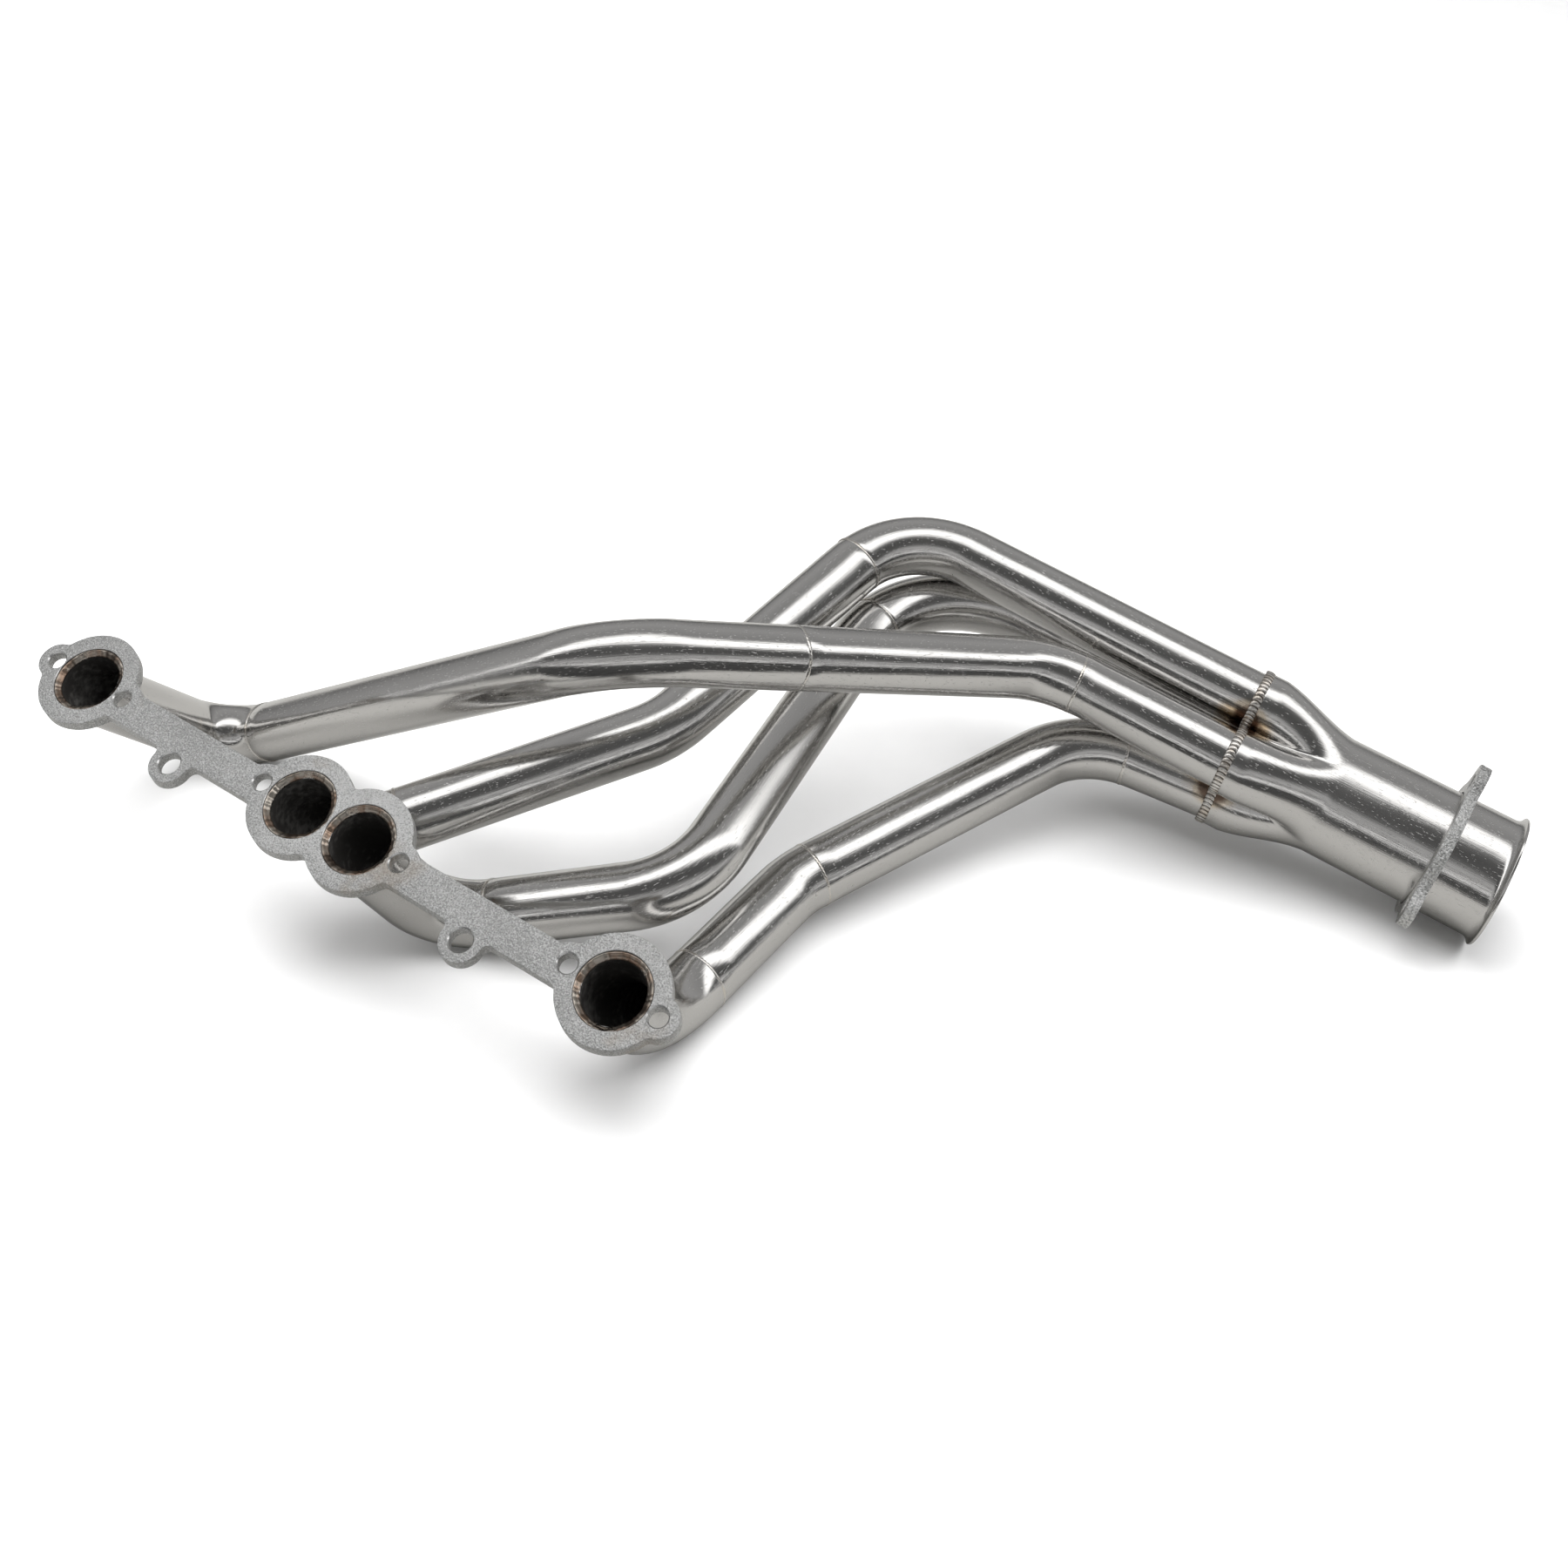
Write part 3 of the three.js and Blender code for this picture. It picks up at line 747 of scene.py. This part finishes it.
def spin_round(bm, geom, steps):
    """Spins a line of points a full turn about z."""
    turn = {"cent": (0, 0, 0), "axis": (0, 0, 1), "angle": 2 * math.pi, "steps": steps}
    bmesh.ops.spin(bm, geom=geom, use_merge=True, **turn)
    bmesh.ops.remove_doubles(bm, verts=bm.verts, dist=0.001)


def ring_of(bm, profile, steps):
    """Spins a closed profile of (radius, height) into a ring."""
    loop = [bm.verts.new((r, 0, z)) for r, z in profile]
    edges = [bm.edges.new((loop[i - 1], loop[i])) for i in range(len(loop))]
    spin_round(bm, loop + edges, steps)
    bmesh.ops.recalc_face_normals(bm, faces=bm.faces)


def weld_metal(name, tone, tint, tint_share):
    """Weld metal frozen in overlapping ripples: bright crowns; the crevices, where "depth" is high, are
    darkened almost to black, part oxide and part painted shade.
    """
    finish = Finish(name)
    place = finish.place()
    depth = finish.attribute("depth", "Fac")
    flecks = finish.noise(place, 700, 4)
    patches = finish.noise(place, 120, 3)
    colour = finish.mix(finish.share(patches, 0.4, 0.66) * tint_share, tone, tint)
    # Painted shade with oxide: where "depth" marks crevices the colour is darkened almost to black.
    colour = finish.mix(finish.share(depth + flecks * 0.3, 0.55, 0.95) * 0.9, colour, (0.06, 0.045, 0.035))
    roughness = flecks * 0.2 + depth * 0.3 + 0.12
    return finish.surface(colour, roughness, finish.bump(flecks + patches, 0.0003, 0.35), 1.0)


seam_finish = weld_metal("seam_bead", (0.72, 0.7, 0.67), (0.55, 0.47, 0.36), 0.35)
foot = TUBE_R - 0.9
SEAM_PROFILE = [
    (foot, -SEAM_HALF), (TUBE_R - 0.12, -SEAM_HALF), (TUBE_R + 0.16, -SEAM_HALF * 0.62),
    (TUBE_R + SEAM_PROUD, 0), (TUBE_R + 0.16, SEAM_HALF * 0.62), (TUBE_R - 0.12, SEAM_HALF),
    (foot, SEAM_HALF),
]
for name, shape in PRIMARIES.items():
    for i, at in enumerate(shape["seams"]):
        bm = bmesh.new()
        ring_of(bm, SEAM_PROFILE, 168)
        depth = bm.verts.layers.float.new("depth")
        for vert in bm.verts:
            angle = math.atan2(vert.co.y, vert.co.x)
            lift = ripple(angle, math.radians(6.5), at)
            edge = abs(vert.co.z) / SEAM_HALF
            crown = smooth_step(math.hypot(vert.co.x, vert.co.y), foot, TUBE_R)
            # depth is highest at the bead's edges and in the ripples' hollows; it drives the painted
            # shade.
            vert[depth] = smooth_step(edge, 0.5, 1) * 0.8 - lift * 0.3
            wander = noise.noise(Vector((math.cos(angle) * 2, math.sin(angle) * 2, at))) * 0.35
            grown = 1 + crown * lift * 0.16 / TUBE_R
            vert.co.x *= grown
            vert.co.y *= grown
            vert.co.z = vert.co.z * (1 + crown * lift * 0.16) + wander
        bmesh.ops.transform(bm, matrix=runs[name].at(at), verts=bm.verts)
        label = f"{name}{i + 1}"
        settle(bm, "seam_bead_" + label, ["seam_weld_" + label], [seam_finish])

# ---------------------------------------------------------------- port welds
# A bead inside each port mouth ties the tube's end to the plate; it is left as welded, shiny and
# uneven, tinted brown. A fillet closes the joint at the plate's back.
PORT_PROFILE = [
    (20.95, -0.75), (20.45, -0.8), (19.8, -1.2), (19.15, -1.9), (18.5, -2.6), (17.5, -3.0),
    (17.5, -3.9), (19.2, -4.2), (19.2, -11.0), (19.6, -11.4), (20.3, -10.6), (21.0, -9.4),
    (21.6, -8.3), (20.95, -8.0),
]
port_finish = weld_metal("port_bead", (0.46, 0.42, 0.37), (0.3, 0.19, 0.13), 0.8)
for i, (name, u) in enumerate(zip("abcd", PORT_U)):
    bm = bmesh.new()
    ring_of(bm, PORT_PROFILE, 200)
    depth = bm.verts.layers.float.new("depth")
    for vert in bm.verts:
        angle = math.atan2(vert.co.y, vert.co.x)
        radius = math.hypot(vert.co.x, vert.co.y)
        inner = smooth_step(vert.co.z, -4, -2.4) * smooth_step(radius, 20.9, 20.2)
        lift = ripple(angle, math.radians(14), i * 7)
        sag = noise.noise(Vector((math.cos(angle) * 1.6, math.sin(angle) * 1.6, i * 3.1)))
        vert[depth] = 0.4 - lift * 0.2 + sag * 0.6
        grown = 1 - inner * (lift * 0.3 + sag * 1.0) / radius
        vert.co = (vert.co.x * grown, vert.co.y * grown, vert.co.z + inner * lift * 0.3)
    bmesh.ops.translate(bm, vec=(u, 0, 0), verts=bm.verts)
    settle(bm, "port_bead_" + name, ["port_weld_" + name], [port_finish])

# ---------------------------------------------------------------- collector
# A four-lobed inlet pressed round the tubes and drawn down to one round outlet, made of the same
# polished stainless; the creases between its lobes run out along the taper. The outlet's mouth
# is rolled outwards into a thin lip that keeps the loose flange on.
LOBE_R = 21.1
LOBE_VALLEY_R = 25
COLLECTOR_WALL = 1.6
OUTLET_R = 36.9
LOBE_STRAIGHT = 10
TAPER_END = 58
LIP_AT = 155
LIP_OUT = [(0.15, 1.2), (0.5, 2.1), (1.1, 2.9), (1.9, 3.7), (2.9, 4.35), (3.8, 4.7)]
LOBE_SWEEP = math.radians(125)
COLLECTOR_SIDES = 176


def lobed_point(step, steps, lobe_r, valley_r):
    """A point of the four-lobed outline: step 0 is a valley, the rest go evenly round each lobe."""
    per_lobe = steps // 4
    k = step % per_lobe
    if k == 0:
        point = Vector((valley_r * math.sqrt(0.5), -valley_r * math.sqrt(0.5), 0))
    else:
        b = -LOBE_SWEEP + 2 * LOBE_SWEEP * (k - 1) / (per_lobe - 2)
        point = Vector((LOBE_AT + lobe_r * math.cos(b), lobe_r * math.sin(b), 0))
    return Matrix.Rotation(math.radians(90) * (step // per_lobe), 3, "Z") @ point


def taper_share(s):
    t = min(1, max(0, (s - LOBE_STRAIGHT) / (TAPER_END - LOBE_STRAIGHT)))
    return 1 - t * t * (3 - 2 * t) * 0.45 - t * 0.55


collector_stations = [k * 2 for k in range(33)] + [70, 80, 92, 105, 120, 135, 148, LIP_AT]
outer_line = [(OUTLET_R, s) for s in collector_stations]
outer_line += [(OUTLET_R + out, LIP_AT + on) for out, on in LIP_OUT]
bm = bmesh.new()
line = [bm.verts.new((r, 0, s)) for r, s in outer_line]
line_edges = [bm.edges.new((line[i - 1], line[i])) for i in range(1, len(line))]
spin_round(bm, line + line_edges, COLLECTOR_SIDES)
grain = bm.verts.layers.float_vector.new("grain")
heat = bm.verts.layers.float.new("scorch")
for vert in bm.verts:
    s = vert.co.z
    angle = math.atan2(vert.co.y, vert.co.x) % (2 * math.pi)
    step = round(angle / (2 * math.pi) * COLLECTOR_SIDES) % COLLECTOR_SIDES
    radius = math.hypot(vert.co.x, vert.co.y)
    share = taper_share(s)
    lobed = lobed_point(step, COLLECTOR_SIDES, LOBE_R, LOBE_VALLEY_R)
    a = step / COLLECTOR_SIDES * 2 * math.pi - math.pi / 4
    vert[grain] = (radius * math.cos(a), radius * math.sin(a), s)
    vert.co = (
        radius * math.cos(a) * (1 - share) + lobed.x * share,
        radius * math.sin(a) * (1 - share) + lobed.y * share,
        s,
    )
    vert[heat] = collector_heat(LOBED @ vert.co)
bmesh.ops.recalc_face_normals(bm, faces=bm.faces)
outermost = max(bm.faces, key=lambda face: face.calc_center_median().z * 0.1 + face.calc_center_median().x)
if outermost.normal.x < 0:
    bmesh.ops.reverse_faces(bm, faces=bm.faces)
bmesh.ops.transform(bm, matrix=LOBED, verts=bm.verts)
collector_finish = polished("collector_stainless", (0.63, 0.62, 0.605), 0.09)
collector_finishes = [collector_finish, bore_finish]
collector_piece = settle(bm, "collector_shell", ["collector"], collector_finishes)
wall(collector_piece, COLLECTOR_WALL, 0.35)

# ---------------------------------------------------------------- collector weld
# One bead laid right round the collector's inlet edge onto the four tubes: an even stack of
# ripples, silver on its crowns and near black between them from oxide and painted shade,
# burnt brown in the valleys.
BEAD_PITCH = 2.9
BEAD_HALF_WIDTH = 3.4
BEAD_PROUD = 1.35
BEAD_AT = -1.4
BEAD_SUNK = 0.4
BEAD_SIDES = 640
collector_bead_finish = weld_metal("collector_bead", (0.74, 0.72, 0.69), (0.5, 0.4, 0.3), 0.5)
bm = bmesh.new()
bead_profile = [
    (math.cos(math.radians(a)) * BEAD_PROUD, math.sin(math.radians(a)) * BEAD_HALF_WIDTH)
    for a in range(-110, 111, 20)
]
ring_of(bm, [(OUTLET_R + r, z) for r, z in bead_profile], BEAD_SIDES)
depth = bm.verts.layers.float.new("depth")
outline_points = [
    lobed_point(k, BEAD_SIDES, LOBE_R - BEAD_SUNK, LOBE_VALLEY_R + BEAD_SUNK) for k in range(BEAD_SIDES)
]
lengths = [0]
for k in range(1, BEAD_SIDES):
    lengths.append(lengths[-1] + (outline_points[k] - outline_points[k - 1]).length)
for vert in bm.verts:
    angle = math.atan2(vert.co.y, vert.co.x) % (2 * math.pi)
    step = round(angle / (2 * math.pi) * BEAD_SIDES) % BEAD_SIDES
    proud = math.hypot(vert.co.x, vert.co.y) - OUTLET_R
    ahead = outline_points[(step + 1) % BEAD_SIDES] - outline_points[step - 1]
    outward = Vector((ahead.y, -ahead.x, 0)).normalized()
    across = vert.co.z / BEAD_HALF_WIDTH
    length = lengths[step] + 1.1 * (1 - across * across)
    drift = noise.noise(Vector((length * 0.07, 0, 4))) * 1.4
    lap = abs(math.sin((length + drift) / BEAD_PITCH * math.pi))
    crown = max(0, proud / BEAD_PROUD)
    wander = noise.noise(Vector((length * 0.05, 9, 0))) * 0.5
    vert[depth] = 0.9 - lap * 0.8 + abs(across) * 0.15
    lift = proud * (0.62 + 0.38 * lap ** 0.6) if proud > 0 else proud
    vert.co = outline_points[step] + outward * lift
    vert.co.z = BEAD_AT + across * BEAD_HALF_WIDTH * (0.82 + 0.18 * lap * crown) + wander
bmesh.ops.recalc_face_normals(bm, faces=bm.faces)
bmesh.ops.transform(bm, matrix=LOBED, verts=bm.verts)
settle(bm, "collector_bead", ["collector_weld"], [collector_bead_finish])

# ---------------------------------------------------------------- merge plug
# The small four-pointed plate that closes the gap between the tubes' ends inside the collector.
# It is tack-welded and out of sight, so its plain solid is kept, painted dark as the shade inside the
# collector.
plug = frame["nodes"]["merge_plug"]
# Painted shade: the plug takes the bore's dark colour.
plug.data.materials.clear()
plug.data.materials.append(bore_finish)

# ---------------------------------------------------------------- loose flange
# A three-bolt flange cut from plate that slides on the outlet behind the lip. The shear left it
# coarse and bright all over; it hangs a little off square.
LOOSE_AT = 121
LOOSE_THICKNESS = 6.4
LOOSE_BORE_R = 37.9
LOOSE_RIM_R = 44
LOOSE_BOLT_AT = 47.6
LOOSE_LUG_R = 11.8
LOOSE_FILLET = 22
LOOSE_BOLT_R = 5.2
LOOSE_EDGE_ROUND = 0.35
LOOSE_HOLE_CHAMFER = 0.5
LOOSE_TILT = math.radians(-3.2)
LOOSE_TILT_ABOUT = Vector((math.cos(math.radians(30)), math.sin(math.radians(30)), 0))
LOOSE_TURN = math.radians(20)


def sheared(name):
    """Plate torn coarse and bright by the shear, greyer in patches, with a fine sparkle."""
    finish = Finish(name)
    place = finish.place()
    tears = finish.noise(place, 900, 5)
    satin = finish.noise(place, 40, 3)
    sparkle = finish.share(finish.noise(place, 2400, 2), 0.58, 0.7)
    torn = finish.share(tears * 0.7 + satin * 0.3, 0.35, 0.65)
    colour = finish.mix(torn, (0.3, 0.3, 0.295), (0.85, 0.85, 0.84))
    colour = finish.mix(sparkle * 0.5, colour, (0.85, 0.85, 0.84))
    roughness = tears * 0.3 + satin * 0.15 + 0.16
    return finish.surface(colour, roughness, finish.bump(tears, 0.0012, 0.8), 1.0)


loose_finish = sheared("sheared_plate")
bm = bmesh.new()
loose_lugs = []
for a in (60, 180, 300):
    at = (LOOSE_BOLT_AT * math.cos(math.radians(a)), -LOOSE_BOLT_AT * math.sin(math.radians(a)))
    loose_lugs.append({"at": at, "r": LOOSE_LUG_R})
loose_rim = {"at": (0, 0), "r": LOOSE_RIM_R}
loose_ring = [entry for lug in loose_lugs for entry in (lug, loose_rim)]
loose_holes = [((0, 0), LOOSE_BORE_R, 120)] + [(lug["at"], LOOSE_BOLT_R, 36) for lug in loose_lugs]
plate(bm, loose_ring, LOOSE_FILLET, loose_holes, LOOSE_THICKNESS)
ease(bm, rim_edges(bm, loose_holes, inside=False), LOOSE_EDGE_ROUND, 2, 0)
ease(bm, rim_edges(bm, loose_holes, inside=True), LOOSE_HOLE_CHAMFER, 1, 1)
bmesh.ops.translate(bm, vec=(0, 0, LOOSE_THICKNESS / 2), verts=bm.verts)
hang = Matrix.Translation((0, 0, LOOSE_AT + LOOSE_THICKNESS / 2))
hang = hang @ Matrix.Rotation(LOOSE_TILT, 4, LOOSE_TILT_ABOUT) @ Matrix.Rotation(LOOSE_TURN, 4, "Z")
bmesh.ops.transform(bm, matrix=OUTLET @ hang, verts=bm.verts)
settle(
    bm, "loose_flange_plate", ["collector_flange"], [loose_finish, chamfer_finish],
    body="loose_flange", sharp=SHARP_FROM,
)
